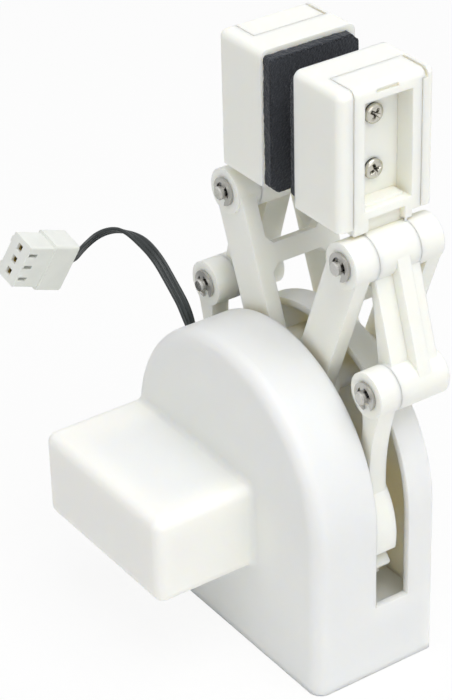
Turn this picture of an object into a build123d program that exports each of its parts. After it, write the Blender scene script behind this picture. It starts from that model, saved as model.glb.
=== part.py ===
from build123d import *
import os
from math import acos, atan2, cos, degrees, hypot, pi, radians, sin, sqrt, tan

# A two-finger claw gripper for a small robot arm, driven by a micro servo.
# X is the way the jaws open, Y runs from the servo box (-Y) to the rear cover, Z is up.
# The origin is the middle of the base's underside. All lengths are millimetres.

# Housing: an arch-shaped shell with a slot for the links and a box for the servo
housing_side_gap = 0.978
arch_rise = 3.6
front_wall = 1.6
side_wall = 1.4
floor_gap = 0.878
floor_thick = 1.6
base_cell_count = 3
base_rib = 1.4
front_edge_radius = 2.5
rear_edge_radius = 1.1
slot_front_gap = 0.8
slot_rear_gap = 1.9
slot_sill = 2.0

# Servo box on the front of the housing
box_side_inset = 0.7
box_right_margin = 0.6
box_low_margin = 3.5
box_high_margin = 1.7
box_reach = 20.05
box_edge_radius = 2.0
box_root_radius = 1.2

# Micro servo
servo_length = 22.8
servo_width = 12.2
servo_ear_length = 4.7
servo_ear_thick = 2.5
servo_below_ears = 15.9
servo_above_ears = 6.8
servo_shaft_inset = 5.9
servo_bump_height = 4.0
servo_bump_radius = 5.9
servo_idler_radius = 2.6
servo_edge_cut = 0.5
servo_shaft_radius = 2.4
servo_shaft_length = 2.5
servo_hole_offset = 2.5
servo_clearance = 0.2
servo_hub_gap = 0.85

# Gears: two equal toothed wheels that mesh on the middle plane
gear_teeth = 18
gear_pitch_radius = 12.8
gear_height = 27.4
gear_backlash = 0.16
pressure_angle = 20.0
root_clearance = 0.25
free_teeth = 9
right_first_tooth = 170.0
left_first_tooth = 160.0
hub_radius = 4.6
hub_step = 0.3

# Linkage, as it stands in the photographed pose
link_reach_x = 10.95
link_reach_z = 28.3
pin_offset_x = -6.95
pin_offset_z = 21.75
boss_radius = 4.2
link_front = 0.8
hand_middle = 10.1
upper_boss_length = 4.9
lower_boss_length = 4.3
lower_barrel_length = 10.2
link_half_width = 4.0
link_thick = 3.0
near_step = 0.5
far_step = 0.1

# Neck of a gear link: an outer and an inner arc, from the pin's boss to the wheel's rim
neck_step = 0.3
neck_thick = 3.6
neck_outer_pin_angle = -40.6
neck_outer_rim_angle = 34.6
neck_outer_bow = 0.9
neck_inner_pin_angle = -114.0
neck_inner_rim_angle = 65.0
neck_inner_bow = 1.6

# Cross bar between the arms of an upper link
cross_bar_along = 17.8
cross_bar_height = 3.7
cross_bar_thick = 2.6
cross_bar_flare = 1.4

# Struts of a coupler: distances of their faces from the line of the pins
near_strut_outer = 1.75
near_strut_inner_top = 1.0
near_strut_inner_low = -2.6
rib_front = 9.3
rib_thick = 2.6
rib_outer = 4.1
web_outer = 2.9
web_inner = -2.0

# Pins, clips and fits
pin_radius = 1.25
pin_tip = 1.1
pin_end = 0.8
pin_chamfer = 0.25
groove_radius = 1.0
clip_radius = 2.6
clip_ring = 0.85
clip_lug_width = 1.1
clip_thick = 0.5
clip_gap = 0.05
lower_clip_turn = 20.0
upper_clip_turn = -15.0
rocker_clip_turn = 10.0
running_fit = 0.06
open_fit = 0.1
fixed_fit = 0.01
side_gap = 0.05

# Posts and axle inside the housing
post_radius = 3.2
post_gap = 0.15
post_cover = 2.0
axle_post_radius = 3.5
axle_radius = 1.5

# Rear cover, pressed into the ring and glued
cover_thick = 2.0
cover_gap = 0.1
cover_link_gap = 1.75
cover_edge_cut = 0.3

# Servo screws and the screw in the servo's shaft
screw_hole_gap = 0.1
screw_point = 0.5
head_edge_cut = 0.4
cross_width = 0.6
cross_depth = 0.7
servo_screw_radius = 0.9
servo_screw_length = 5.0
servo_head_radius = 1.8
servo_head_height = 1.3
shaft_screw_radius = 0.9
shaft_screw_length = 2.9
shaft_head_radius = 1.9
shaft_head_height = 1.2
shaft_screw_sink = 1.6

# Jaws, brackets and foam pads
jaw_inner = 4.65
jaw_outer = 17.0
jaw_depth = 19.6
jaw_lift = 6.05
jaw_height = 25.0
jaw_wall = 1.85
jaw_edge_radius = 1.4
jaw_boss_radius = 2.6
bracket_near_margin = 3.0
bracket_far_margin = 2.75
bracket_gap = 0.15
bracket_thick = 5.8
bracket_lift = 1.1
bracket_leg = 2.4
bracket_leg_near = 3.0
bracket_leg_far = 1.45
bracket_heel = 1.75
neck_block_setback = 1.3
window_near_margin = 2.15
window_far_margin = 1.85
window_sill = 1.5
window_head = 2.7
window_depth = 4.05
slit_depth = 0.5
slit_length = 4.5
slit_drop = 1.5
slit_width = 0.6
tongue_thick = 1.5
tongue_reach = 6.4
tongue_extra = 0.6
groove_width = 0.6
jaw_screw_spacing = 10.1
jaw_screw_lift = 0.35
jaw_screw_radius = 1.0
jaw_screw_length = 6.0
jaw_head_radius = 1.8
jaw_head_height = 1.0
pad_thick = 2.0
pad_front_inset = 0.4
pad_rear_inset = 0.45
pad_corner = 0.8
left_pad_below = 1.2
left_pad_inset = 0.8
right_pad_below = 0.0
right_pad_inset = 1.6

# Lead, a flat ribbon, and the connector at its end
lead_width = 2.25
lead_thick = 0.75
lead_hole_gap = 0.1
lead_points = [
    (-21.9, -3.0, 45.5), (-24.4, -3.0, 50.8), (-28.8, -3.1, 54.5), (-34.0, -3.0, 58.1),
    (-40.0, -3.1, 59.5), (-44.5, -4.4, 59.7), (-46.9, -7.1, 58.6), (-47.0, -10.6, 56.8),
    (-44.5, -14.5, 56.4), (-44.1, -17.9, 57.8),
]
lead_side = (0.622, -0.726, 0.294)
connector_axis = (0.108, -0.919, 0.378)
connector_row = (0.22, 0.363, 0.906)
connector_width = 9.9
connector_height = 5.75
connector_length = 11.3
connector_step = 0.6
connector_collar = 5.6
connector_overlap = 0.8
rib_size = 1.1
contact_pitch = 2.54
contact_size = 1.3
contact_wall = 0.3
contact_sink = 2.5
latch_width = 0.7
latch_length = 1.9
latch_setback = 1.4

# Sizes that follow from the ones above
gear_module = 2 * gear_pitch_radius / gear_teeth
gear_tip_radius = gear_pitch_radius + gear_module
gear_root_radius = gear_pitch_radius - (1 + root_clearance) * gear_module
housing_width = 2 * (gear_pitch_radius + gear_tip_radius + housing_side_gap)
arch_z = gear_height + arch_rise
housing_height = arch_z + housing_width / 2
floor_top = gear_height - gear_tip_radius - floor_gap
slot_bottom = floor_top + slot_sill
gear_front = link_front
gear_rear = link_front + lower_boss_length
slot_front = link_front - slot_front_gap
slot_rear = gear_rear + slot_rear_gap
servo_mid_x = -gear_pitch_radius - servo_shaft_inset + servo_length / 2
servo_ear_span = servo_length + 2 * servo_ear_length
bump_top = gear_front - hub_step - servo_hub_gap
servo_top = bump_top - servo_bump_height
front_inside = servo_top - servo_above_ears
servo_bottom = front_inside - servo_below_ears
shaft_start = bump_top + side_gap
shaft_end = shaft_start + servo_shaft_length
link_rear = 2 * hand_middle - link_front
front_face = front_inside - front_wall
rear_face = link_rear - upper_boss_length - cover_link_gap
cover_front = rear_face - cover_thick
box_left = box_side_inset - housing_width / 2
box_right = servo_mid_x + servo_ear_span / 2 + box_right_margin
box_bottom = gear_height - servo_width / 2 - box_low_margin
box_top = gear_height + servo_width / 2 + box_high_margin
lower_pin_x = gear_pitch_radius + link_reach_x
lower_pin_z = gear_height + link_reach_z
upper_pin_x = lower_pin_x + pin_offset_x
upper_pin_z = lower_pin_z + pin_offset_z
rocker_x = gear_pitch_radius + pin_offset_x
rocker_z = gear_height + pin_offset_z
pin_spacing = hypot(pin_offset_x, pin_offset_z)
barrel_front = link_front + upper_boss_length + side_gap
barrel_rear = 2 * hand_middle - barrel_front
low_barrel_front = gear_rear + side_gap
low_barrel_rear = low_barrel_front + lower_barrel_length
post_start = front_inside + post_cover
jaw_front = hand_middle - jaw_depth / 2
jaw_rear = hand_middle + jaw_depth / 2
jaw_bottom = upper_pin_z + jaw_lift
jaw_top = jaw_bottom + jaw_height
bracket_inner = jaw_outer - bracket_thick
bracket_near = jaw_front + bracket_near_margin
bracket_far = jaw_rear - bracket_far_margin
bracket_bottom = jaw_bottom + bracket_lift
far_leg_end = bracket_far - bracket_heel
window_near = bracket_near + window_near_margin
window_far = bracket_far - window_far_margin
window_bottom = bracket_bottom + window_sill
window_top = jaw_top - window_head
window_middle = (window_near + window_far) / 2
slit_bottom = jaw_top - slit_drop
jaw_screw_middle = jaw_bottom + jaw_height / 2 + jaw_screw_lift
jaw_screw_heights = [jaw_screw_middle + side * jaw_screw_spacing / 2 for side in (-1, 1)]


def prism(face, y_from, y_to):
    """Solid of a face drawn in X and Z, running from y_from to y_to in depth."""
    plane = Plane(origin=(0, y_to, 0), x_dir=(1, 0, 0), z_dir=(0, -1, 0))
    return extrude(plane * face, amount=y_to - y_from)


def rod(x, z, radius, y_from, y_to):
    """Round bar along Y."""
    return prism(Pos(x, z) * Circle(radius), y_from, y_to)


def block(x_from, x_to, y_from, y_to, z_from, z_to):
    """Box between two corners."""
    middle = Pos((x_from + x_to) / 2, (y_from + y_to) / 2, (z_from + z_to) / 2)
    return middle * Box(abs(x_to - x_from), abs(y_to - y_from), abs(z_to - z_from))


def bowed(start, end, bow):
    """Arc between two points whose middle stands off to the left of the chord."""
    run_x, run_z = end[0] - start[0], end[1] - start[1]
    share = bow / hypot(run_x, run_z)
    middle = (start[0] + run_x / 2 - run_z * share, start[1] + run_z / 2 + run_x * share)
    return ThreePointArc(start, middle, end)


def round_point(centre, radius, angle):
    """Point on a circle at an angle in degrees."""
    turn = radians(angle)
    return centre[0] + radius * cos(turn), centre[1] + radius * sin(turn)


def mirrored(part, side):
    """The part as made for the right-hand side, or its mirror image for the left."""
    return part if side > 0 else mirror(part, about=Plane.YZ)


def arch_face(inset=0.0, bottom=0.0):
    """The housing's outline, moved inwards by inset and cut off at the height bottom."""
    radius = housing_width / 2 - inset
    straight = Pos(0, (arch_z + bottom) / 2) * Rectangle(2 * radius, arch_z - bottom)
    below = Pos(0, bottom - housing_height / 2) * Rectangle(2 * radius, housing_height)
    return Pos(0, arch_z) * Circle(radius) + straight - below


def servo_envelope(grow):
    """The servo's body with its ears, larger by grow on each side."""
    half = servo_width / 2 + grow
    low, high = gear_height - half, gear_height + half
    body_half = servo_length / 2 + grow
    ear_half = servo_ear_span / 2 + grow
    body = block(
        servo_mid_x - body_half, servo_mid_x + body_half,
        servo_bottom - grow, servo_top + grow, low, high,
    )
    ears = block(
        servo_mid_x - ear_half, servo_mid_x + ear_half,
        front_inside, front_inside + servo_ear_thick + grow, low, high,
    )
    return body + ears


def lead_section(grow=0.0):
    """Section of the flat lead, its width along the section's X."""
    return RectangleRounded(
        lead_width + 2 * grow, lead_thick + 2 * grow, 0.45 * (lead_thick + 2 * grow)
    )


def lead_hole():
    """Oblong hole through the arch's left shoulder, along the lead's first run."""
    first = Vector(*lead_points[0])
    way = Vector(*lead_points[1]) - first
    plane = Plane(origin=first - way.normalized() * front_wall, x_dir=lead_side, z_dir=way)
    return extrude(plane * lead_section(lead_hole_gap), amount=way.length)


def servo_hole_places():
    """Middle of each ear's screw hole."""
    offset = servo_length / 2 + servo_hole_offset
    return [servo_mid_x + side * offset for side in (-1, 1)]


def housing_outside():
    """Arch-shaped block with rounded edges and the servo box grown onto its front."""
    outer = prism(arch_face(), front_face, rear_face)
    front_edges = outer.faces().sort_by(Axis.Y)[0].edges()
    front_edges = front_edges.filter_by(lambda e: e.center().Z > front_edge_radius)
    outer = fillet(front_edges, front_edge_radius)
    rear_edges = outer.faces().sort_by(Axis.Y)[-1].edges()
    rear_edges = rear_edges.filter_by(lambda e: e.center().Z > front_edge_radius)
    outer = fillet(rear_edges, rear_edge_radius)
    box = block(box_left, box_right, front_face - box_reach, front_inside, box_bottom, box_top)
    box_edges = box.edges().filter_by(lambda e: e.center().Y < front_inside - side_gap)
    outer += fillet(box_edges, box_edge_radius)
    root_edges = outer.edges().filter_by(
        lambda e: abs(e.center().Y - front_face) < side_gap
        and box_left < e.center().X < box_right + side_gap
        and box_bottom - side_gap < e.center().Z < box_top + side_gap
    )
    return fillet(root_edges, box_root_radius)


def base_hollow():
    """Cells under the floor, with ribs left between them."""
    room = housing_width - 2 * side_wall
    cell_width = (room - (base_cell_count - 1) * base_rib) / base_cell_count
    cell_depth = rear_face - front_face - 2 * front_wall
    cells = GridLocations(cell_width + base_rib, cell_depth, base_cell_count, 1)
    outline = Sketch() + [cell * Rectangle(cell_width, cell_depth) for cell in cells]
    middle = Pos(0, (front_face + rear_face) / 2)
    return extrude(middle * outline, amount=floor_top - floor_thick)


def housing_shell():
    """One moulding: base, arch-shaped front, servo box, ring behind the slot and inner posts."""
    shell = housing_outside() - base_hollow()
    shell -= prism(arch_face(side_wall, floor_top), front_inside, rear_face)
    shell -= block(
        -housing_width, housing_width, slot_front, slot_rear, slot_bottom, 2 * housing_height,
    )
    for side in (-1, 1):
        shell += rod(side * rocker_x, rocker_z, post_radius, front_inside - side_gap,
                     link_front - post_gap)
    shell += rod(gear_pitch_radius, gear_height, axle_post_radius, front_inside - side_gap,
                 gear_front - hub_step - post_gap)
    shell -= servo_envelope(servo_clearance)
    for side in (-1, 1):
        shell -= rod(side * rocker_x, rocker_z, pin_radius + fixed_fit, post_start, rear_face)
    shell -= rod(gear_pitch_radius, gear_height, axle_radius + fixed_fit, post_start, rear_face)
    for x in servo_hole_places():
        shell -= rod(x, gear_height, servo_screw_radius + fixed_fit,
                     front_inside - servo_screw_length, front_inside)
    return shell - lead_hole()


def rear_cover():
    """Flat plate that closes the ring, with bosses for the axles."""
    cover = prism(arch_face(side_wall + cover_gap, floor_top + cover_gap), cover_front, rear_face)
    cover = chamfer(cover.faces().sort_by(Axis.Y)[-1].edges(), cover_edge_cut)
    boss_front = link_front + upper_boss_length + post_gap
    boss_rear = link_rear - upper_boss_length - post_gap
    for side in (-1, 1):
        cover += rod(side * rocker_x, rocker_z, post_radius, boss_front, boss_rear)
    cover += rod(gear_pitch_radius, gear_height, axle_post_radius, gear_rear + post_gap, cover_front)
    for side in (-1, 1):
        cover -= rod(side * rocker_x, rocker_z, pin_radius + fixed_fit, boss_front, boss_rear)
    cover -= rod(gear_pitch_radius, gear_height, axle_radius + fixed_fit, gear_rear,
                 cover_front + cover_thick / 2)
    return cover


def screw(head_radius, head_height, shank_radius, shank_length):
    """Pan-head screw standing on Z: the shank below z = 0, the head with its cross above."""
    head = extrude(Circle(head_radius), amount=head_height)
    head = chamfer(head.edges().group_by(Axis.Z)[-1], head_edge_cut * head_height)
    shank = extrude(Circle(shank_radius), amount=-shank_length)
    shank = chamfer(shank.edges().group_by(Axis.Z)[0], screw_point * shank_radius)
    slot = Pos(0, 0, head_height) * Box(
        2 * head_radius * cross_width, cross_width * shank_radius, cross_depth * head_height
    )
    return head + shank - slot - Rot(0, 0, 90) * slot


def stand(part, point, way):
    """Moves a part that stands on Z so that it stands on a point and points along a way."""
    return Plane(origin=point, z_dir=way) * part


def servo_case():
    """Micro servo: body, ears with their holes and the round gearbox top."""
    case = servo_envelope(0)
    corners = case.edges().filter_by(Axis.Y).filter_by(lambda e: e.length > servo_above_ears)
    case = chamfer(corners, servo_edge_cut)
    case += rod(-gear_pitch_radius, gear_height, servo_bump_radius, servo_top, bump_top)
    case += rod(-gear_pitch_radius + servo_bump_radius, gear_height, servo_idler_radius,
                servo_top, bump_top)
    for x in servo_hole_places():
        case -= rod(x, gear_height, servo_screw_radius + screw_hole_gap, front_inside,
                    front_inside + servo_ear_thick)
    return case


def servo_shaft():
    """Output shaft of the servo, bored for its screw."""
    shaft = rod(-gear_pitch_radius, gear_height, servo_shaft_radius, shaft_start, shaft_end)
    tip = gear_rear - shaft_screw_sink - shaft_screw_length
    return shaft - rod(-gear_pitch_radius, gear_height, shaft_screw_radius + fixed_fit,
                       tip - side_gap, shaft_end)


def servo_screws():
    """Two screws that hold the servo's ears to the front wall."""
    one = screw(servo_head_radius, servo_head_height, servo_screw_radius,
                servo_ear_thick + servo_screw_length - front_wall)
    seat = front_inside + servo_ear_thick
    return Compound([stand(one, (x, seat, gear_height), (0, 1, 0)) for x in servo_hole_places()])


def shaft_screw():
    """Screw that holds the left gear link on the servo's shaft."""
    one = screw(shaft_head_radius, shaft_head_height, shaft_screw_radius, shaft_screw_length)
    return stand(one, (-gear_pitch_radius, gear_rear - shaft_screw_sink, gear_height), (0, 1, 0))


def involute(base_radius, radius):
    """Angle, in radians, by which an involute has turned when it reaches a radius."""
    pressure = acos(min(1.0, base_radius / radius))
    return sqrt((radius / base_radius) ** 2 - 1) - pressure


def tooth_face():
    """One involute tooth pointing along +X, with its foot inside the root circle."""
    base_radius = gear_pitch_radius * cos(radians(pressure_angle))
    half_at_pitch = (pi * gear_module - gear_backlash) / (4 * gear_pitch_radius)
    half_at_base = half_at_pitch + involute(base_radius, gear_pitch_radius)
    flank = []
    for share in (0.0, 0.5, 1.0):
        radius = base_radius + share * (gear_tip_radius - base_radius)
        angle = half_at_base - involute(base_radius, radius)
        flank.append((radius * cos(angle), radius * sin(angle)))
    foot_radius = gear_root_radius - gear_module
    foot = (foot_radius * cos(half_at_base), foot_radius * sin(half_at_base))
    below = [(x, -y) for x, y in flank]
    outline = Line(foot, flank[0]) + ThreePointArc(*flank)
    outline += ThreePointArc(flank[2], (gear_tip_radius, 0), below[2])
    outline += ThreePointArc(*reversed(below)) + Line(below[0], (foot[0], -foot[1]))
    return make_face(outline + Line((foot[0], -foot[1]), foot))


def sector_face(radius, start, end):
    """Slice of a disc from one angle to another, in degrees."""
    points = [round_point((0, 0), radius, angle) for angle in (start, (start + end) / 2, end)]
    return make_face(Line((0, 0), points[0]) + ThreePointArc(*points) + Line(points[2], (0, 0)))


def wheel_face(first_tooth):
    """Wheel with teeth where it meshes and a plain rim between the first and the last tooth."""
    pitch_angle = 360 / gear_teeth
    plain_from = first_tooth + free_teeth * pitch_angle - 360
    plain_to = first_tooth - pitch_angle
    wheel = Circle(gear_root_radius) + sector_face(gear_tip_radius, plain_from, plain_to)
    for number in range(-1, free_teeth + 1):
        wheel += Rot(0, 0, first_tooth + number * pitch_angle) * tooth_face()
    return wheel


def neck_face():
    """Waisted arm between the wheel's rim and the lower pin's boss."""
    gear = (gear_pitch_radius, gear_height)
    pin = (lower_pin_x, lower_pin_z)
    inside = boss_radius - neck_step
    outer_top = round_point(pin, boss_radius - side_gap, neck_outer_pin_angle)
    outer_root = round_point(gear, gear_tip_radius - side_gap, neck_outer_rim_angle)
    inner_root = round_point(gear, gear_tip_radius - gear_module, neck_inner_rim_angle)
    inner_top = round_point(pin, inside, neck_inner_pin_angle)
    outline = bowed(outer_top, outer_root, -neck_outer_bow) + Line(outer_root, inner_root)
    outline += bowed(inner_root, inner_top, -neck_inner_bow) + Line(inner_top, outer_top)
    return make_face(outline)


def gear_link(side, first_tooth):
    """Toothed wheel with a plain outer rim, a waisted neck and the lower pin's boss."""
    link = prism(Pos(gear_pitch_radius, gear_height) * wheel_face(first_tooth), gear_front, gear_rear)
    link += rod(gear_pitch_radius, gear_height, hub_radius, gear_front - hub_step, gear_rear)
    link += prism(neck_face(), gear_front + neck_step, gear_front + neck_step + neck_thick)
    link += rod(lower_pin_x, lower_pin_z, boss_radius, link_front, gear_rear)
    link -= rod(lower_pin_x, lower_pin_z, pin_radius + fixed_fit, link_front, gear_rear)
    if side > 0:
        link -= rod(gear_pitch_radius, gear_height, axle_radius + running_fit,
                    gear_front - hub_step, gear_rear)
    else:
        seat = gear_rear - shaft_screw_sink
        link -= rod(gear_pitch_radius, gear_height, servo_shaft_radius + fixed_fit,
                    gear_front - hub_step, shaft_end + side_gap)
        link -= rod(gear_pitch_radius, gear_height, shaft_screw_radius + fixed_fit, shaft_end, seat)
        link -= rod(gear_pitch_radius, gear_height, shaft_head_radius + screw_hole_gap, seat,
                    gear_rear)
    return mirrored(link, side)


def upper_link(side):
    """H-shaped rocker: a near arm, a far arm and a cross bar that ties them together."""
    lower = (rocker_x, rocker_z)
    upper = (upper_pin_x, upper_pin_z)
    near = link_front + near_step
    far = link_rear - far_step
    length = hypot(upper[0] - lower[0], upper[1] - lower[1])
    angle = degrees(atan2(upper[1] - lower[1], upper[0] - lower[0]))
    along_link = Pos(*lower) * Rot(0, 0, angle)
    arm = along_link * Pos(length / 2, 0) * SlotCenterToCenter(length, 2 * link_half_width)
    link = prism(arm, near, near + link_thick) + prism(arm, far - link_thick, far)
    for x, z in (lower, upper):
        link += rod(x, z, boss_radius, link_front, link_front + upper_boss_length)
        link += rod(x, z, boss_radius, link_rear - upper_boss_length, link_rear)
    spot = along_link * Pos(cross_bar_along, link_half_width - cross_bar_thick / 2)
    bar = spot * Rectangle(cross_bar_height, cross_bar_thick)
    foot = spot * Rectangle(cross_bar_height + 2 * cross_bar_flare, cross_bar_thick)
    link += prism(bar, near + link_thick, far - link_thick)
    for start, end in (
        (near + link_thick, near + link_thick + cross_bar_flare),
        (far - link_thick, far - link_thick - cross_bar_flare),
    ):
        link += loft([
            Plane(origin=(0, y, 0), x_dir=(1, 0, 0), z_dir=(0, -1, 0)) * face
            for y, face in ((start, foot), (end, bar))
        ])
    link -= rod(*lower, pin_radius + running_fit, link_front, link_rear)
    link -= rod(*upper, pin_radius + fixed_fit, link_front, link_rear)
    return mirrored(link, side)


def by_pins(along, out):
    """Point so far from the upper pin towards the lower one, and so far out from their line."""
    way_x, way_z = -pin_offset_x / pin_spacing, -pin_offset_z / pin_spacing
    return upper_pin_x + way_x * along - way_z * out, upper_pin_z + way_z * along + way_x * out


def strut_face(outer, inner_top, inner_low):
    """Face of a strut between the pins, with its outer and inner distance from their line."""
    corners = [
        by_pins(0, outer), by_pins(pin_spacing, outer),
        by_pins(pin_spacing, inner_low), by_pins(0, inner_top),
    ]
    return make_face(Polyline(*corners, close=True))


def coupler(side):
    """Finger carrier: two barrels, a stepped strut, and the bracket that the jaw slides over."""
    near_strut = strut_face(near_strut_outer, near_strut_inner_top, near_strut_inner_low)
    rib = strut_face(rib_outer, web_inner, web_inner)
    web = strut_face(web_outer, web_inner, web_inner)
    part = prism(near_strut, barrel_front, rib_front)
    part += prism(rib, rib_front, rib_front + rib_thick)
    part += prism(web, rib_front, barrel_rear)
    part += block(
        upper_pin_x - boss_radius + side_gap, jaw_outer - neck_block_setback,
        barrel_front, barrel_rear, upper_pin_z, bracket_bottom + window_depth / 2,
    )
    part += block(
        upper_pin_x, jaw_outer, far_leg_end - bracket_leg_far, barrel_rear, upper_pin_z,
        bracket_bottom,
    )
    part += rod(upper_pin_x, upper_pin_z, boss_radius, barrel_front, barrel_rear)
    part += rod(lower_pin_x, lower_pin_z, boss_radius, low_barrel_front, low_barrel_rear)
    part += bracket()
    part -= rod(upper_pin_x, upper_pin_z, pin_radius + open_fit, barrel_front, barrel_rear)
    part -= rod(lower_pin_x, lower_pin_z, pin_radius + running_fit, low_barrel_front,
                low_barrel_rear)
    return mirrored(part, side)


def bracket():
    """Frame with a sunk window for the screws, two legs and a tongue over the jaw's top."""
    frame = block(bracket_inner, jaw_outer, bracket_near, bracket_far, bracket_bottom, jaw_top)
    for start, end in (
        (bracket_near, bracket_near + bracket_leg_near),
        (far_leg_end - bracket_leg_far, far_leg_end),
    ):
        frame += block(
            bracket_inner, jaw_outer, start, end, bracket_bottom - bracket_leg, bracket_bottom,
        )
    frame += block(
        bracket_inner, jaw_outer, far_leg_end, bracket_far, jaw_bottom, bracket_bottom,
    )
    frame += block(
        jaw_outer - tongue_reach, jaw_outer, bracket_near, bracket_far + tongue_extra,
        jaw_top - tongue_thick, jaw_top,
    )
    frame -= block(
        jaw_outer - window_depth, jaw_outer, window_near, window_far, window_bottom, window_top,
    )
    top_edge = frame.edges().filter_by(Axis.Y).filter_by(
        lambda e: e.center().X > jaw_outer - side_gap and e.center().Z > jaw_top - side_gap
    )
    frame = fillet(top_edge, jaw_edge_radius)
    frame -= block(
        jaw_outer - slit_depth, jaw_outer, hand_middle - slit_length / 2,
        hand_middle + slit_length / 2, slit_bottom, slit_bottom + slit_width,
    )
    for z in jaw_screw_heights:
        start = Plane(origin=(bracket_inner, hand_middle, z), z_dir=(1, 0, 0))
        frame -= extrude(start * Circle(jaw_screw_radius + fixed_fit), amount=bracket_thick)
    return frame


def jaw_shell(side):
    """Hollow jaw that slides over the bracket, with two screw bosses inside."""
    jaw = block(jaw_inner, jaw_outer, jaw_front, jaw_rear, jaw_bottom, jaw_top)
    rounded = jaw.edges().filter_by(
        lambda e: e.center().X > jaw_inner + side_gap and e.center().Z > jaw_bottom + side_gap
    )
    jaw = fillet(rounded, jaw_edge_radius)
    tongue_bottom = jaw_top - tongue_thick - bracket_gap
    jaw -= block(
        jaw_inner + jaw_wall, jaw_outer, bracket_near - bracket_gap, bracket_far + bracket_gap,
        jaw_bottom, tongue_bottom,
    )
    jaw -= block(
        jaw_outer - tongue_reach - bracket_gap, jaw_outer, bracket_near - bracket_gap,
        bracket_far + tongue_extra + groove_width, tongue_bottom, jaw_top,
    )
    for z in jaw_screw_heights:
        start = Plane(origin=(jaw_inner + jaw_wall, hand_middle, z), z_dir=(1, 0, 0))
        boss_length = bracket_inner - jaw_inner - jaw_wall
        jaw += extrude(start * Circle(jaw_boss_radius), amount=boss_length)
        jaw -= extrude(start * Circle(jaw_screw_radius + fixed_fit), amount=boss_length)
    return mirrored(jaw, side)


def jaw_screw_pair(side):
    """Two screws through the bracket's window into the jaw."""
    one = screw(jaw_head_radius, jaw_head_height, jaw_screw_radius, jaw_screw_length)
    seat = side * (jaw_outer - window_depth)
    return Compound([
        stand(one, (seat, hand_middle, z), (side, 0, 0)) for z in jaw_screw_heights
    ])


def foam_pad(side, below, inset):
    """Foam sheet with cut corners, glued on the jaw's inner face, its top below the jaw's top."""
    pad = block(
        jaw_inner - pad_thick, jaw_inner, jaw_front + pad_front_inset, jaw_rear - pad_rear_inset,
        jaw_bottom - below, jaw_top - inset,
    )
    return mirrored(chamfer(pad.edges().filter_by(Axis.X), pad_corner), side)


def groove_ring(x, z, y):
    """What a clip's groove takes out of a pin."""
    ring = Circle(pin_radius + pin_chamfer) - Circle(groove_radius)
    return prism(Pos(x, z) * ring, y - fixed_fit, y + clip_thick + fixed_fit)


def steel_pin(x, z, front, rear, has_front_clip=True):
    """Steel pin along Y, grooved for a clip beyond each boss face that has one."""
    end = rear + clip_gap + clip_thick + pin_end
    start = front - clip_gap - clip_thick - pin_tip if has_front_clip else front
    pin = rod(x, z, pin_radius, start, end)
    pin = chamfer(pin.edges().filter_by(GeomType.CIRCLE), pin_chamfer)
    pin -= groove_ring(x, z, rear + clip_gap)
    if has_front_clip:
        pin -= groove_ring(x, z, front - clip_gap - clip_thick)
    return pin


def retaining_clip(x, z, y, turn):
    """Open spring-steel clip with three lugs that reach into the pin's groove."""
    seat = groove_radius + fixed_fit
    ring = Circle(clip_radius) - Circle(clip_radius - clip_ring)
    ring -= Pos(0, -clip_radius) * Rectangle(2 * groove_radius, 2 * clip_radius)
    lug_length = clip_radius - clip_ring / 2 - seat
    lug = Pos(seat + lug_length / 2, 0) * Rectangle(lug_length, clip_lug_width)
    for angle in (-28, 90, 208):
        ring += Rot(0, 0, angle) * lug
    ring -= Circle(seat)
    return prism(Pos(x, z) * Rot(0, 0, turn) * ring, y, y + clip_thick)


def clip_pair(x, z, front, rear, turn):
    """The clips at both ends of a pin."""
    return Compound([
        retaining_clip(x, z, front - clip_gap - clip_thick, turn),
        retaining_clip(x, z, rear + clip_gap, 2 * turn),
    ])


def gear_axle():
    """Steel axle of the right gear link, between the housing's post and the rear cover."""
    end = cover_front + cover_thick / 2
    axle = rod(gear_pitch_radius, gear_height, axle_radius, post_start + side_gap, end - side_gap)
    return chamfer(axle.edges().filter_by(GeomType.CIRCLE), pin_chamfer)


def lead():
    """Free lead of the servo: straight runs joined by tangent arcs, its flat side turning along."""
    points = [Vector(*point) for point in lead_points]
    radii = []
    for before, here, after in zip(points, points[1:], points[2:]):
        turn = radians((here - before).get_angle(after - here))
        shorter = min((here - before).length, (after - here).length)
        radii.append(0.45 * shorter / tan(turn / 2))
    print("lead radii", [round(radius, 1) for radius in radii])
    path = FilletPolyline(*points, radius=radii)
    section = Plane(origin=path @ 0, x_dir=lead_side, z_dir=path % 0) * lead_section()
    ribbon = sweep(section, path)
    print("lead length", round(path.length, 2), "volume ratio",
          round(ribbon.volume / (section.area * path.length), 4))
    return ribbon


def connector_plane(along):
    """Plane across the connector at a distance from its lead end, with X along the row."""
    axis = Vector(*connector_axis).normalized()
    row = Vector(*connector_row)
    row = (row - axis * row.dot(axis)).normalized()
    start = Vector(*lead_points[-1]) + axis * (along - connector_overlap)
    return Plane(origin=start, x_dir=row, z_dir=axis)


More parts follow.
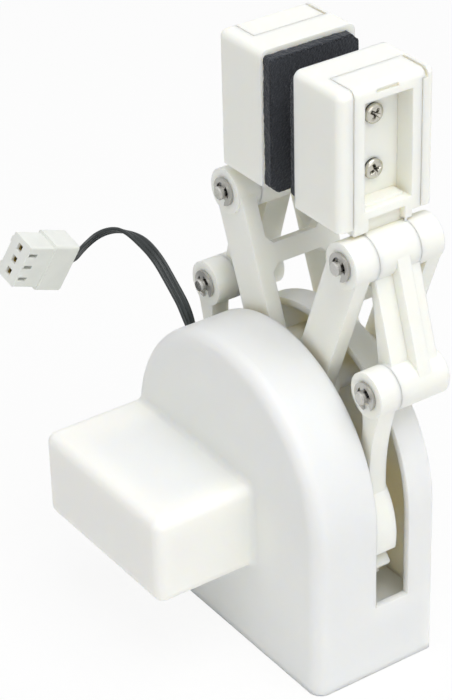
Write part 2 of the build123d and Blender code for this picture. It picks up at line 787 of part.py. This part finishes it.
def connector():
    """Three-way crimp housing: a wide rear, a narrower nose with guide ribs, square contact
    holes and a latch window into each from one side."""
    body = extrude(
        connector_plane(0) * RectangleRounded(connector_width, connector_height, connector_step),
        amount=connector_collar,
    )
    body += extrude(
        connector_plane(connector_collar) * RectangleRounded(
            connector_width - 2 * connector_step, connector_height - connector_step,
            connector_step / 2),
        amount=connector_length - connector_collar,
    )
    for share in (-1, 1):
        rib = Pos(share * (connector_width / 2 - 2 * rib_size),
                  (connector_height - rib_size) / 2) * Rectangle(rib_size, rib_size)
        body += extrude(connector_plane(connector_collar) * rib,
                        amount=connector_length - connector_collar)
    latch_start = connector_length - latch_setback - latch_length / 2
    for number in (-1, 0, 1):
        hole = Pos(number * contact_pitch, 0) * Rectangle(contact_size, contact_size)
        body -= extrude(connector_plane(contact_sink) * hole, amount=connector_length)
        slot = Pos(number * contact_pitch, -connector_height / 2) * Rectangle(
            latch_width, connector_height - contact_size)
        body -= extrude(connector_plane(latch_start) * slot, amount=latch_length)
    return body


def contacts():
    """Three crimped contacts inside the connector."""
    outer = contact_size - 2 * fixed_fit
    tube = Rectangle(outer, outer) - Rectangle(outer - 2 * contact_wall, outer - 2 * contact_wall)
    length = connector_length - contact_sink - connector_step
    return Compound([
        extrude(connector_plane(contact_sink) * Pos(number * contact_pitch, 0) * tube,
                amount=length)
        for number in (-1, 0, 1)
    ])


def save(name, part):
    """Writes one piece to its own file."""
    export_step(part, f"parts/{name}.step")


os.makedirs("parts", exist_ok=True)
save("housing_shell", housing_shell())
save("rear_cover", rear_cover())
save("servo_case", servo_case())
save("servo_shaft", servo_shaft())
save("servo_screws", servo_screws())
save("shaft_screw", shaft_screw())
save("gear_axle", gear_axle())
save("lead", lead())
save("connector", connector())
save("connector_contacts", contacts())
for name, side, first_tooth, pad_below, pad_inset in (
    ("left", -1, left_first_tooth, left_pad_below, left_pad_inset),
    ("right", 1, right_first_tooth, right_pad_below, right_pad_inset),
):
    low_x = side * lower_pin_x
    high_x = side * upper_pin_x
    save(f"{name}_gear_link", gear_link(side, first_tooth))
    save(f"{name}_upper_link", upper_link(side))
    save(f"{name}_coupler", coupler(side))
    save(f"{name}_jaw", jaw_shell(side))
    save(f"{name}_jaw_screws", jaw_screw_pair(side))
    save(f"{name}_foam_pad", foam_pad(side, pad_below, pad_inset))
    save(f"{name}_lower_pin", steel_pin(low_x, lower_pin_z, link_front, low_barrel_rear))
    save(f"{name}_lower_clips", clip_pair(low_x, lower_pin_z, link_front, low_barrel_rear,
                                        lower_clip_turn))
    save(f"{name}_upper_pin", steel_pin(high_x, upper_pin_z, link_front, link_rear))
    save(f"{name}_upper_clips", clip_pair(high_x, upper_pin_z, link_front, link_rear,
                                        upper_clip_turn))
    save(f"{name}_rocker_pin", steel_pin(side * rocker_x, rocker_z, post_start, link_rear, False))
    save(f"{name}_rocker_clip",
         retaining_clip(side * rocker_x, rocker_z, link_rear + clip_gap, rocker_clip_turn))
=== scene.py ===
import bpy
import numpy as np
from mathutils import Matrix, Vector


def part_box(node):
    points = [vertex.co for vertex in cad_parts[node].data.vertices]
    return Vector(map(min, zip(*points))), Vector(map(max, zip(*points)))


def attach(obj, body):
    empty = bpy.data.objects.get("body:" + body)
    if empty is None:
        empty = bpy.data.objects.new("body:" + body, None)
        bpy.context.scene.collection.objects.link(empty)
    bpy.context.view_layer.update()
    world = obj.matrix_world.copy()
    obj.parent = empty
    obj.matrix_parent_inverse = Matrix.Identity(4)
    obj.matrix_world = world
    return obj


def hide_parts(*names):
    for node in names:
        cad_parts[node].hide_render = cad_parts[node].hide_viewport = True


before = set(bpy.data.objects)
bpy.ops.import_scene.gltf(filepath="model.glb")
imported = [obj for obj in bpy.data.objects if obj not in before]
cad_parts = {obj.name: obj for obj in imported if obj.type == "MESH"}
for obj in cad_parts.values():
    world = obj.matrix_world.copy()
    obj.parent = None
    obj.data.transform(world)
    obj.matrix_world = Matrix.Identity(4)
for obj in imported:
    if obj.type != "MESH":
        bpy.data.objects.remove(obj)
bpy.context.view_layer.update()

# Colours come out as they are written.
bpy.context.scene.view_settings.view_transform = "Standard"

# Camera. It stands high on the side of the right-hand jaw, a long lens away, and leans a
# little, as the photograph does. The focal length is in pixels of a picture 700 pixels high.
azimuth, elevation, roll = np.radians([55.97, 31.33, -1.58])
picture_height = 700
focal_pixels = 2520.5
sensor_height_mm = 36
aim = np.array([-0.0166, 0.0, 0.0454])
camera_distance = 0.4555
back = np.array([
    np.sin(azimuth) * np.cos(elevation), -np.cos(azimuth) * np.cos(elevation), np.sin(elevation)
])
level_right = np.array([np.cos(azimuth), np.sin(azimuth), 0.0])
level_up = np.cross(back, level_right)
camera_right = level_right * np.cos(roll) + level_up * np.sin(roll)
camera_up = level_up * np.cos(roll) - level_right * np.sin(roll)
camera_data = bpy.data.cameras.new("camera")
camera_data.sensor_fit = "VERTICAL"
camera_data.sensor_height = sensor_height_mm
camera_data.lens = sensor_height_mm * focal_pixels / picture_height
camera_data.clip_start = 0.01
camera = bpy.data.objects.new("camera", camera_data)
camera_place = np.eye(4)
camera_place[:3, 0], camera_place[:3, 1], camera_place[:3, 2] = camera_right, camera_up, back
camera_place[:3, 3] = aim + back * camera_distance
camera.matrix_world = Matrix(camera_place.tolist())
bpy.context.scene.collection.objects.link(camera)
bpy.context.scene.camera = camera


# Lead. A flat ribbon of three vinyl-covered cores, moulded side by side, that leaves the servo's
# housing through a hole in the arch's left shoulder and ends in the connector.
def mesh_object(name, points, faces):
    """New smooth-shaded object from points and faces, with its place in its mesh."""
    mesh = bpy.data.meshes.new(name)
    mesh.from_pydata(np.asarray(points).tolist(), [], faces)
    mesh.shade_smooth()
    made = bpy.data.objects.new(name, mesh)
    bpy.context.scene.collection.objects.link(made)
    return made


def grid_faces(rows, columns, start=0):
    """Four-sided faces between neighbouring points of a grid that is stored row by row. Its last
    column joins its first. Start is the number of its first point."""
    i, j = np.meshgrid(np.arange(rows - 1), np.arange(columns), indexing="ij")
    a = start + i * columns + j
    b = start + i * columns + (j + 1) % columns
    return np.stack([a, b, b + columns, a + columns], axis=-1).reshape(-1, 4).tolist()


def linear(code):
    """Linear colour of an sRGB hex code: below 0.04045 divide by 12.92, above it the 2.4 power."""
    value = np.array([int(code[k:k + 2], 16) for k in (1, 3, 5)]) / 255
    low = value / 12.92
    high = ((value + 0.055) / 1.055) ** 2.4
    return (*np.where(value <= 0.04045, low, high).tolist(), 1.0)


def add(material, kind, inputs, **settings):
    """Adds one node to a material or the world. Inputs are values, or sockets to link it to, and
    settings are the node's own."""
    made = material.node_tree.nodes.new(kind)
    for key, value in settings.items():
        setattr(made, key, value)
    for key, value in inputs.items():
        if isinstance(value, bpy.types.NodeSocket):
            material.node_tree.links.new(value, made.inputs[key])
        else:
            made.inputs[key].default_value = value
    return made


def new_material(name):
    """Empty material with its output, ready for its shader."""
    material = bpy.data.materials.new(name)
    material.use_nodes = True
    material.node_tree.nodes.clear()
    return material


def finish_material(material, shader):
    """Links the last shader to the material's output."""
    add(material, "ShaderNodeOutputMaterial", {"Surface": shader.outputs[0]})
    return material


lead_points = np.array([
    (-21.9, -3.0, 45.5), (-24.4, -3.0, 50.8), (-28.8, -3.1, 54.5), (-34.0, -3.0, 58.1),
    (-40.0, -3.1, 59.5), (-44.5, -4.4, 59.7), (-46.9, -7.1, 58.6), (-47.0, -10.6, 56.8),
    (-44.5, -14.5, 56.4), (-44.1, -17.9, 57.8),
]) / 1000
lead_width = 0.00225
core_radius = lead_width / 6
web_half = 0.00016
profile_points = 33
# The ribbon's wide way at shares of its length. It twists just past the exit and again over the
# top of its bend, and ends along the connector's row.
side_shares = [0.0, 0.16, 0.33, 0.46, 0.64, 0.8, 0.92, 1.0]
side_ways = np.array([
    (0.62, -0.73, 0.29), (-0.30, -0.87, -0.39), (-0.29, -0.87, -0.40), (-0.12, -0.81, -0.58),
    (0.24, -0.72, 0.65), (0.47, -0.41, 0.78), (0.32, 0.11, 0.94), (0.22, 0.36, 0.91),
])
route_curve = bpy.data.curves.new("lead_route", "CURVE")
route_curve.dimensions = "3D"
route_curve.resolution_u = 24
route_spline = route_curve.splines.new("NURBS")
route_spline.points.add(len(lead_points) - 1)
for spot, point in zip(route_spline.points, lead_points):
    spot.co = (*point, 1.0)
route_spline.order_u = 3
route_spline.use_endpoint_u = True
route = bpy.data.objects.new("lead_route", route_curve)
bpy.context.scene.collection.objects.link(route)
bpy.context.view_layer.update()
route_mesh = bpy.data.meshes.new_from_object(route)
lead_path = np.array([v.co for v in route_mesh.vertices])
bpy.data.objects.remove(route)


def ribbon_profile(count):
    """Outline of three round cores side by side: half thickness is the largest of the three
    circles' heights at each place across, and never less than the web between them."""
    across = -np.cos(np.linspace(0, np.pi, count)) * lead_width / 2
    centres = np.array([-2, 0, 2])[:, None] * core_radius
    height = np.sqrt(np.clip(core_radius ** 2 - (across - centres) ** 2, 0, None)).max(axis=0)
    inner = np.abs(across) < 2 * core_radius
    height = np.where(inner, np.maximum(height, web_half), height)
    upper = np.stack([across, height], axis=1)
    lower = np.stack([across[-2:0:-1], -height[-2:0:-1]], axis=1)
    return np.concatenate([upper, lower])


def carried(profile, path, width_way):
    """Profile carried along a path: its first axis along width_way, its second square to that
    and to the path's own direction."""
    forward = np.gradient(path, axis=0)
    forward /= np.linalg.norm(forward, axis=1, keepdims=True)
    wide = width_way - forward * (width_way * forward).sum(axis=1, keepdims=True)
    wide /= np.linalg.norm(wide, axis=1, keepdims=True)
    thick = np.cross(forward, wide)
    return (
        path[:, None] + profile[None, :, :1] * wide[:, None] + profile[None, :, 1:] * thick[:, None]
    )


along = np.concatenate([[0], np.cumsum(np.linalg.norm(np.diff(lead_path, axis=0), axis=1))])
lead_length = along[-1]
width_way = np.stack([
    np.interp(along / lead_length, side_shares, side_ways[:, k]) for k in range(3)], axis=1)
ribbon = carried(ribbon_profile(profile_points), lead_path, width_way)
ribbon_rows, ribbon_columns = ribbon.shape[:2]
lead_faces = grid_faces(ribbon_rows, ribbon_columns)
lead_faces.append(list(range(ribbon_columns))[::-1])
lead_faces.append([(ribbon_rows - 1) * ribbon_columns + k for k in range(ribbon_columns)])
lead = mesh_object("lead_ribbon", ribbon.reshape(-1, 3), lead_faces)

# Patterns are written as repeats in a millimetre, and Blender counts them in a metre.
per_mm = 1000.0

# Soft vinyl: near black with a green cast, dull, with faint drawing marks.
vinyl = new_material("black_vinyl_ribbon")
place = add(vinyl, "ShaderNodeTexCoord", {})
grain = add(vinyl, "ShaderNodeTexNoise", {
    "Vector": place.outputs["Object"], "Scale": 1.5 * per_mm, "Detail": 3.0})
relief = add(vinyl, "ShaderNodeBump", {
    "Height": grain.outputs["Fac"], "Distance": 0.00004, "Strength": 0.6})
finish_material(vinyl, add(vinyl, "ShaderNodeBsdfPrincipled", {
    "Base Color": linear("#1D2425"), "Roughness": 0.34, "IOR": 1.53,
    "Normal": relief.outputs["Normal"]}))
lead.data.materials.append(vinyl)
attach(lead, "base")
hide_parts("lead")


# Connector. A crimp housing moulded in natural nylon, a little translucent and slightly uneven
# in colour. It is pushed on the lead's end and holds one crimped contact for each core.
def paint(material, *names):
    """Gives CAD pieces one material."""
    for name in names:
        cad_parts[name].data.materials.clear()
        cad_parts[name].data.materials.append(material)


nylon = new_material("natural_nylon")
place = add(nylon, "ShaderNodeTexCoord", {})
cloud = add(nylon, "ShaderNodeTexNoise", {
    "Vector": place.outputs["Object"], "Scale": 0.26 * per_mm, "Detail": 4.0})
tone = add(nylon, "ShaderNodeMix", {
    "Factor": cloud.outputs["Fac"], "A": linear("#E0E2DD"), "B": linear("#EFF1ED")},
    data_type="RGBA")
corner = add(nylon, "ShaderNodeBevel", {"Radius": 0.00018}, samples=4)
finish_material(nylon, add(nylon, "ShaderNodeBsdfPrincipled", {
    "Base Color": tone.outputs["Result"], "Roughness": 0.4, "IOR": 1.53,
    "Subsurface Weight": 0.6, "Subsurface Radius": (1.0, 0.95, 0.85), "Subsurface Scale": 0.0004,
    "Normal": corner.outputs["Normal"]}))
paint(nylon, "connector")

# The contacts and the servo's output shaft are yellow metal, dull from handling.
bronze = new_material("phosphor_bronze")
place = add(bronze, "ShaderNodeTexCoord", {})
scratch = add(bronze, "ShaderNodeTexNoise", {
    "Vector": place.outputs["Object"], "Scale": 2.2 * per_mm, "Detail": 2.0})
relief = add(bronze, "ShaderNodeBump", {
    "Height": scratch.outputs["Fac"], "Distance": 0.00001, "Strength": 0.5})
finish_material(bronze, add(bronze, "ShaderNodeBsdfPrincipled", {
    "Base Color": linear("#8F7A45"), "Metallic": 1.0, "Roughness": 0.35,
    "Normal": relief.outputs["Normal"]}))
paint(bronze, "connector_contacts", "servo_shaft")


# Housing. One injection moulding in warm white plastic with a fine satin skin: arch, servo box,
# ring and base. Thick walls have sunk a little as they cooled, and its edges are soft.
def moulded_plastic(
        name, colour, painted_hollow_shade_colour, sunk_length, skin_length, edge_radius, light_reach):
    """White plastic that lets light in a little way. Where walls face each other closely, the base
    colour is painted from colour to painted_hollow_shade_colour: painted tan shade that stands in
    for light which has passed through the plastic several times.
    The lengths, in metres, are those of the sunk places, the skin's grains, the soft edges and
    the light's way in."""
    made = new_material(name)
    place = add(made, "ShaderNodeTexCoord", {})
    skin = add(made, "ShaderNodeTexNoise", {
        "Vector": place.outputs["Object"], "Scale": 1 / skin_length, "Detail": 4.0,
        "Roughness": 0.6})
    sunk = add(made, "ShaderNodeTexNoise", {
        "Vector": place.outputs["Object"], "Scale": 1 / sunk_length, "Detail": 1.0})
    corner = add(made, "ShaderNodeBevel", {"Radius": edge_radius}, samples=4)
    wave = add(made, "ShaderNodeBump", {
        "Height": sunk.outputs["Fac"], "Distance": 0.00008, "Strength": 1.0,
        "Normal": corner.outputs["Normal"]})
    relief = add(made, "ShaderNodeBump", {
        "Height": skin.outputs["Fac"], "Distance": 0.000018, "Strength": 0.35,
        "Normal": wave.outputs["Normal"]})
    # Painted shade: the less open space there is around a point, the more its base colour turns
    # tan.
    open_share = add(made, "ShaderNodeAmbientOcclusion", {"Distance": 0.012}, samples=6)
    painted_shade_mix = add(made, "ShaderNodeMapRange", {
        "Value": open_share.outputs["AO"], "From Min": 0.02, "From Max": 0.36})
    tone = add(made, "ShaderNodeMix", {
        "Factor": painted_shade_mix.outputs["Result"], "A": linear(painted_hollow_shade_colour), "B": linear(colour)},
        data_type="RGBA")
    gloss = add(made, "ShaderNodeMapRange", {
        "Value": skin.outputs["Fac"], "To Min": 0.4, "To Max": 0.52})
    return finish_material(made, add(made, "ShaderNodeBsdfPrincipled", {
        "Base Color": tone.outputs["Result"], "Roughness": gloss.outputs["Result"],
        "IOR": 1.52, "Subsurface Weight": 1.0, "Subsurface Radius": (1.0, 0.92, 0.78),
        "Subsurface Scale": light_reach, "Normal": relief.outputs["Normal"]}))


# F6E6B8 is the painted tan shade of the housing's hollows.
housing_plastic = moulded_plastic(
    "satin_white_abs_housing", "#F8F9F1", "#F6E6B8", sunk_length=0.011, skin_length=0.0009,
    edge_radius=0.0003, light_reach=0.0026)
paint(housing_plastic, "housing_shell", "rear_cover")

# Servo. Its case is moulded in blue nylon; little of it shows between the links.
servo_nylon = new_material("blue_servo_case")
place = add(servo_nylon, "ShaderNodeTexCoord", {})
grain = add(servo_nylon, "ShaderNodeTexNoise", {
    "Vector": place.outputs["Object"], "Scale": 0.7 * per_mm, "Detail": 3.0})
relief = add(servo_nylon, "ShaderNodeBump", {
    "Height": grain.outputs["Fac"], "Distance": 0.00002, "Strength": 0.4})
finish_material(servo_nylon, add(servo_nylon, "ShaderNodeBsdfPrincipled", {
    "Base Color": linear("#20408A"), "Roughness": 0.3, "IOR": 1.53,
    "Normal": relief.outputs["Normal"]}))
paint(servo_nylon, "servo_case")

# Gear links, upper links, couplers and jaws. Smaller mouldings in the same plastic, with a
# slightly finer skin and sharper edges than the housing. Thinner walls let light in less far.
# EFE8D2 is the painted tan shade of the links' hollows.
link_plastic = moulded_plastic(
    "satin_white_abs_links", "#F4F5EE", "#EFE8D2", sunk_length=0.007, skin_length=0.0006,
    edge_radius=0.0002, light_reach=0.0013)
paint(link_plastic, *[
    f"{side}_{piece}" for side in ("left", "right")
    for piece in ("gear_link", "upper_link", "coupler", "jaw")
])


# Pins. Bright drawn steel rod, turned down at the clip grooves. The grooves and the gaps beside
# the clips are darkened with painted shade.
def metal_with_painted_shade(
        name, painted_shade_colour, bright_colour, flecks, detail, dent, strength, gap, open_from, open_to,
        roughness):
    """Small metal piece. Its colour goes from painted_shade_colour to bright_colour as the open
    share of the space within the length gap goes from open_from to open_to: painted shade in
    grooves, gaps and recesses. Flecks, counted in a millimetre, dent its surface by the length
    dent."""
    made = new_material(name)
    place = add(made, "ShaderNodeTexCoord", {})
    fleck = add(made, "ShaderNodeTexNoise", {
        "Vector": place.outputs["Object"], "Scale": flecks * per_mm, "Detail": detail})
    relief = add(made, "ShaderNodeBump", {
        "Height": fleck.outputs["Fac"], "Distance": dent, "Strength": strength})
    # Painted shade: the less open space there is around a point, the nearer its colour is to
    # painted_shade_colour.
    open_share = add(made, "ShaderNodeAmbientOcclusion", {"Distance": gap}, samples=8)
    painted_shade_mix = add(made, "ShaderNodeMapRange", {
        "Value": open_share.outputs["AO"], "From Min": open_from, "From Max": open_to})
    tone = add(made, "ShaderNodeMix", {
        "Factor": painted_shade_mix.outputs["Result"], "A": linear(painted_shade_colour), "B": linear(bright_colour)},
        data_type="RGBA")
    return finish_material(made, add(made, "ShaderNodeBsdfPrincipled", {
        "Base Color": tone.outputs["Result"], "Metallic": 1.0, "Roughness": roughness,
        "Normal": relief.outputs["Normal"]}))


pin_steel = metal_with_painted_shade(
    "bright_drawn_steel", "#2B2A27", "#C4C3BF", flecks=3.0, detail=3.0, dent=0.00002,
    strength=0.6, gap=0.0012, open_from=0.15, open_to=0.6, roughness=0.22)
paint(pin_steel, "gear_axle", *[
    f"{side}_{piece}" for side in ("left", "right")
    for piece in ("lower_pin", "upper_pin", "rocker_pin")
])

# Clips. Open rings stamped from spring steel, tumbled and oiled, snapped into the grooves.
# Their gaps are darkened with painted shade.
clip_steel = metal_with_painted_shade(
    "spring_steel_clips", "#2A2927", "#BAB9B5", flecks=2.4, detail=4.0, dent=0.00003,
    strength=0.7, gap=0.0008, open_from=0.12, open_to=0.5, roughness=0.3)
paint(clip_steel, *[
    f"{side}_{piece}" for side in ("left", "right")
    for piece in ("lower_clips", "upper_clips", "rocker_clip")
])

# Screws. Cold-headed steel with nickel plating. The servo's screws stay as the CAD has them.
# Their recesses and the gaps around them are darkened with painted shade.
nickel = metal_with_painted_shade(
    "nickel_plated_steel", "#2A2521", "#C9C6BC", flecks=1.8, detail=3.0, dent=0.00002,
    strength=0.5, gap=0.0009, open_from=0.3, open_to=0.9, roughness=0.2)
paint(nickel, "servo_screws", "shaft_screw")

# Jaw screws. Low pan heads with a cross recess, driven through each bracket's window into the
# jaw. Each head is a surface over a round grid, and its recess is pressed in with sloped walls.
head_radius = 0.0018
head_height = 0.001
head_rings = 46
first_ring = 0.02
ring_crowding = 0.9
ring_points = 96
crown_fall = 0.42
recess_reach = 0.72 * head_radius
recess_middle = 0.00085
recess_floor = 0.00075
recess_half_width = 0.00034
recess_wall_slope = 3.0
screw_spacing = 0.0101
shank_radius = 0.00098
shank_rings = 61
thread_pitch = 0.0008
thread_depth = 0.00012
tip_length = 0.0009
tip_share = 0.3
recess_turns = {"left": (0.5, 1.2), "right": (0.35, 1.0)}


def screw_surface(turn, shank_length):
    """Rows of (radius, angle, height) over a head and down its shank. The crown is head_height
    times 1 minus crown_fall times the sixth power of the radius's share. The recess takes away
    the least of three: a depth that falls evenly from the middle to nothing at the wings' ends,
    a steep wall from the wings' edges, and a flat floor. The thread is a wave down the shank."""
    angles = np.linspace(0, 2 * np.pi, ring_points, endpoint=False)
    rings = head_radius * np.linspace(first_ring, 1.0, head_rings) ** ring_crowding
    r, a = np.meshgrid(rings, angles, indexing="ij")
    across = np.minimum(np.abs(np.sin(a - turn)), np.abs(np.cos(a - turn))) * r
    along = np.maximum(np.abs(np.sin(a - turn)), np.abs(np.cos(a - turn))) * r
    slope = recess_middle * (1 - along / recess_reach)
    wall = recess_wall_slope * (recess_half_width - across)
    depth = np.clip(np.minimum(slope, wall), 0, recess_floor)
    crown = head_height * (1 - crown_fall * (r / head_radius) ** 6)
    head = np.stack([r, a, crown - depth], axis=-1)
    rim = np.stack([np.full_like(angles, head_radius), angles, np.zeros_like(angles)], axis=-1)
    steps = np.linspace(0, shank_length, shank_rings)[:, None]
    wave = 0.5 - 0.5 * np.cos(2 * np.pi * steps / thread_pitch + angles)
    taper = np.clip((shank_length - steps) / tip_length, tip_share, 1)
    thread = (shank_radius - thread_depth * wave) * taper
    shank = np.stack([thread, *np.broadcast_arrays(angles, -steps)], axis=-1)
    return np.concatenate([head, rim[None], shank])


for side, way in (("left", -1), ("right", 1)):
    low, high = (np.array(corner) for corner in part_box(f"{side}_jaw_screws"))
    seat = (high[0] if way > 0 else low[0]) - way * head_height
    middle = (low + high) / 2
    points, faces = [], []
    for place_up, turn in zip((-screw_spacing / 2, screw_spacing / 2), recess_turns[side]):
        surface = screw_surface(turn, high[0] - low[0] - head_height)
        rows, columns = surface.shape[:2]
        radius, angle, height = surface[..., 0], surface[..., 1], surface[..., 2]
        spots = np.stack([
            seat + way * height, middle[1] + way * radius * np.cos(angle),
            middle[2] + place_up + radius * np.sin(angle)], axis=-1)
        start = len(points)
        points.extend(spots.reshape(-1, 3).tolist())
        faces.extend(face[::-1] for face in grid_faces(rows, columns, start=start))
        faces.append([start + k for k in range(columns)])
        faces.append([start + (rows - 1) * columns + k for k in range(columns)][::-1])
    screws = mesh_object(f"{side}_jaw_pan_screws", points, faces)
    screws.data.materials.append(nickel)
    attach(screws, f"{side}_hand")
    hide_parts(f"{side}_jaw_screws")


# Foam pads. Closed-cell foam sheet 2 mm thick, cut with a knife, its corners cropped, and glued
# to each jaw's inner face. Its skin is pitted with fine cells, and its cut edges are ragged.
foam = new_material("black_closed_cell_foam")
place = add(foam, "ShaderNodeTexCoord", {})
# Cells are about 0.25 mm across, drawn at 0.4 mm so that they show.
cells = add(foam, "ShaderNodeTexVoronoi", {
    "Vector": place.outputs["Object"], "Scale": 2.5 * per_mm})
fuzz = add(foam, "ShaderNodeTexNoise", {
    "Vector": place.outputs["Object"], "Scale": 1.6 * per_mm, "Detail": 5.0, "Roughness": 0.7})
tone = add(foam, "ShaderNodeMix", {
    "Factor": fuzz.outputs["Fac"], "A": linear("#1C1F25"), "B": linear("#3D4148")},
    data_type="RGBA")
relief = add(foam, "ShaderNodeBump", {
    "Height": cells.outputs["Distance"], "Distance": 0.0002, "Strength": 0.8})
finish_material(foam, add(foam, "ShaderNodeBsdfPrincipled", {
    "Base Color": tone.outputs["Result"], "Roughness": 0.92, "IOR": 1.45,
    "Sheen Weight": 0.15, "Sheen Roughness": 0.5, "Normal": relief.outputs["Normal"]}))


lattice_side = 24


def cell_noise(spots, spacing, seed):
    """Random heights from 0 to 1 at the corners of a lattice, joined between them by the smooth
    step 3t^2 - 2t^3 along each of its three directions."""
    heights = np.random.default_rng(seed).random((lattice_side,) * 3)
    cell = np.floor(spots / spacing).astype(int)
    t = spots / spacing - cell
    t = t * t * (3 - 2 * t)
    total = np.zeros(spots.shape[:-1])
    for step in np.ndindex(2, 2, 2):
        share = np.where(step, t, 1 - t).prod(axis=-1)
        i, j, k = np.moveaxis((cell + step) % lattice_side, -1, 0)
        total += share * heights[i, j, k]
    return total


def cropped_outline(low, high, crops, step):
    """Points a step apart round a rectangle whose four corners are cut at 45 degrees. The crops
    are the cuts' legs, anticlockwise from the lower front corner."""
    (y0, z0), (y1, z1) = low, high
    a, b, c, d = crops
    corners = np.array([
        (y0 + a, z0), (y1 - b, z0), (y1, z0 + b), (y1, z1 - c),
        (y1 - c, z1), (y0 + d, z1), (y0, z1 - d), (y0, z0 + a), (y0 + a, z0)])
    lengths = np.concatenate([[0], np.cumsum(np.hypot(*np.diff(corners, axis=0).T))])
    marks = np.linspace(0, lengths[-1], int(lengths[-1] / step), endpoint=False)
    return np.stack([np.interp(marks, lengths, corners[:, k]) for k in (0, 1)], axis=1)


rim_step = 0.00022
edge_round = 0.0003
face_rings = 52
middle_share = 0.012
round_rings = 5
side_rings = 9
back_shares = (0.9, 0.5, 0.1)
pit_depth = 0.00013
swell_depth = 0.00012
ragged_depth = 0.00022
fine_ragged_depth = 0.0001
for side, way, crops in (
    ("left", 1, (0.0016, 0.0012, 0.0015, 0.0004)),
    ("right", -1, (0.0016, 0.0012, 0.0008, 0.0008)),
):
    low, high = (np.array(corner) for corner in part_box(f"{side}_foam_pad"))
    outline = cropped_outline(low[1:], high[1:], crops, rim_step)
    centre = (low[1:] + high[1:]) / 2
    outward = np.roll(outline, -1, axis=0) - np.roll(outline, 1, axis=0)
    outward = np.stack([outward[:, 1], -outward[:, 0]], axis=1)
    outward /= np.linalg.norm(outward, axis=1, keepdims=True)
    thick = high[0] - low[0]
    free_face = high[0] if way > 0 else low[0]
    # Each ring is the outline at a share of its size, drawn in by an inset and set down from
    # the free face: the face from its middle out, the round edge, the cut side and the back.
    face_shares = np.linspace(middle_share, 1, face_rings, endpoint=False)
    rings = [(share, 0.0, 0.0) for share in face_shares]
    rings += [(1.0, edge_round * (1 - np.sin(t)), edge_round * (1 - np.cos(t)))
              for t in np.linspace(0, np.pi / 2, round_rings)]
    rings += [(1.0, 0.0, down) for down in np.linspace(edge_round, thick, side_rings)[1:]]
    rings += [(share, 0.0, thick) for share in back_shares]
    share, inset, down = np.array(rings).T[:, :, None, None]
    flat = centre + (outline - centre) * share - outward * inset
    level = np.broadcast_to(free_face - way * down, (*flat.shape[:2], 1))
    spots = np.concatenate([level, flat], axis=-1)
    pits = 0.6 * cell_noise(spots, spacing=0.0005, seed=3)
    pits += 0.4 * cell_noise(spots, spacing=0.00025, seed=4)
    swell = cell_noise(spots, spacing=0.004, seed=5)
    on_face = down[..., 0] < edge_round
    spots[..., 0] -= way * on_face * (pit_depth * pits + swell_depth * swell)
    ragged = ragged_depth * cell_noise(spots, spacing=0.0007, seed=6)
    ragged += fine_ragged_depth * cell_noise(spots, spacing=0.0003, seed=7)
    on_rim = share[..., 0] == 1.0
    spots[..., 1:] -= (on_rim * ragged)[..., None] * outward
    count, columns = spots.shape[:2]
    faces = [face[::-1] for face in grid_faces(count, columns)]
    faces.append(list(range(columns)))
    faces.append([(count - 1) * columns + k for k in range(columns)][::-1])
    if way < 0:
        faces = [face[::-1] for face in faces]
    pad = mesh_object(f"{side}_pad_foam", spots.reshape(-1, 3), faces)
    pad.data.materials.append(foam)
    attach(pad, f"{side}_hand")
    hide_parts(f"{side}_foam_pad")

# Floor. A sheet of white paper: seen straight, it glows to white and keeps a faint shadow.
floor_half = 3.0
floor_level = -0.0001
floor = mesh_object("floor", [
    (x * floor_half, y * floor_half, floor_level)
    for x, y in ((-1, -1), (1, -1), (1, 1), (-1, 1))], [(0, 1, 2, 3)])
paper = new_material("white_paper_floor")
rays = add(paper, "ShaderNodeLightPath", {})
shown = add(paper, "ShaderNodeMath", {0: rays.outputs["Is Camera Ray"], 1: 0.88},
            operation="MULTIPLY")
sheet = add(paper, "ShaderNodeBsdfDiffuse", {"Color": linear("#F0F0F0")})
glow = add(paper, "ShaderNodeEmission", {"Color": (1, 1, 1, 1), "Strength": 1.0})
finish_material(paper, add(paper, "ShaderNodeMixShader", {
    0: shown.outputs[0], 1: sheet.outputs[0], 2: glow.outputs[0]}))
floor.data.materials.append(paper)

# Room. Even white light from all round, and a white backdrop wherever it is seen or mirrored.
world = bpy.data.worlds.new("white_room")
bpy.context.scene.world = world
world.use_nodes = True
world.node_tree.nodes.clear()
rays = add(world, "ShaderNodeLightPath", {})
seen = add(world, "ShaderNodeMath", {
    0: rays.outputs["Is Camera Ray"], 1: rays.outputs["Is Glossy Ray"]}, operation="MAXIMUM")
seen = add(world, "ShaderNodeMath", {
    0: seen.outputs[0], 1: rays.outputs["Is Transmission Ray"]}, operation="MAXIMUM")
level = add(world, "ShaderNodeMapRange", {"Value": seen.outputs[0], "To Min": 0.5, "To Max": 1.0})
room = add(world, "ShaderNodeBackground", {
    "Color": (1, 1, 1, 1), "Strength": level.outputs["Result"]})
add(world, "ShaderNodeOutputWorld", {"Surface": room.outputs[0]})


# Lamps. Large soft boxes: one above, one by the free gear's side, and a weak one in front.
lamp_aim = np.array([0.0, 0.0, 0.06])


def soft_lamp(name, position, size, power):
    """Square area lamp at a position, facing the middle of the gripper."""
    data = bpy.data.lights.new(name, "AREA")
    data.size, data.energy = size, power
    lamp = bpy.data.objects.new(name, data)
    away = np.array(position) - lamp_aim
    away /= np.linalg.norm(away)
    side = np.cross([0, 0, 1], away)
    side /= np.linalg.norm(side)
    turned = np.eye(4)
    turned[:3, 0], turned[:3, 1], turned[:3, 2] = side, np.cross(away, side), away
    turned[:3, 3] = position
    lamp.matrix_world = Matrix(turned.tolist())
    bpy.context.scene.collection.objects.link(lamp)


soft_lamp("top_lamp", (0.3, 0.0, 0.85), size=0.7, power=5.0)
soft_lamp("side_lamp", (0.9, -0.1, 0.45), size=0.6, power=0.9)
soft_lamp("front_lamp", (-0.2, -0.9, 0.5), size=0.6, power=0.3)
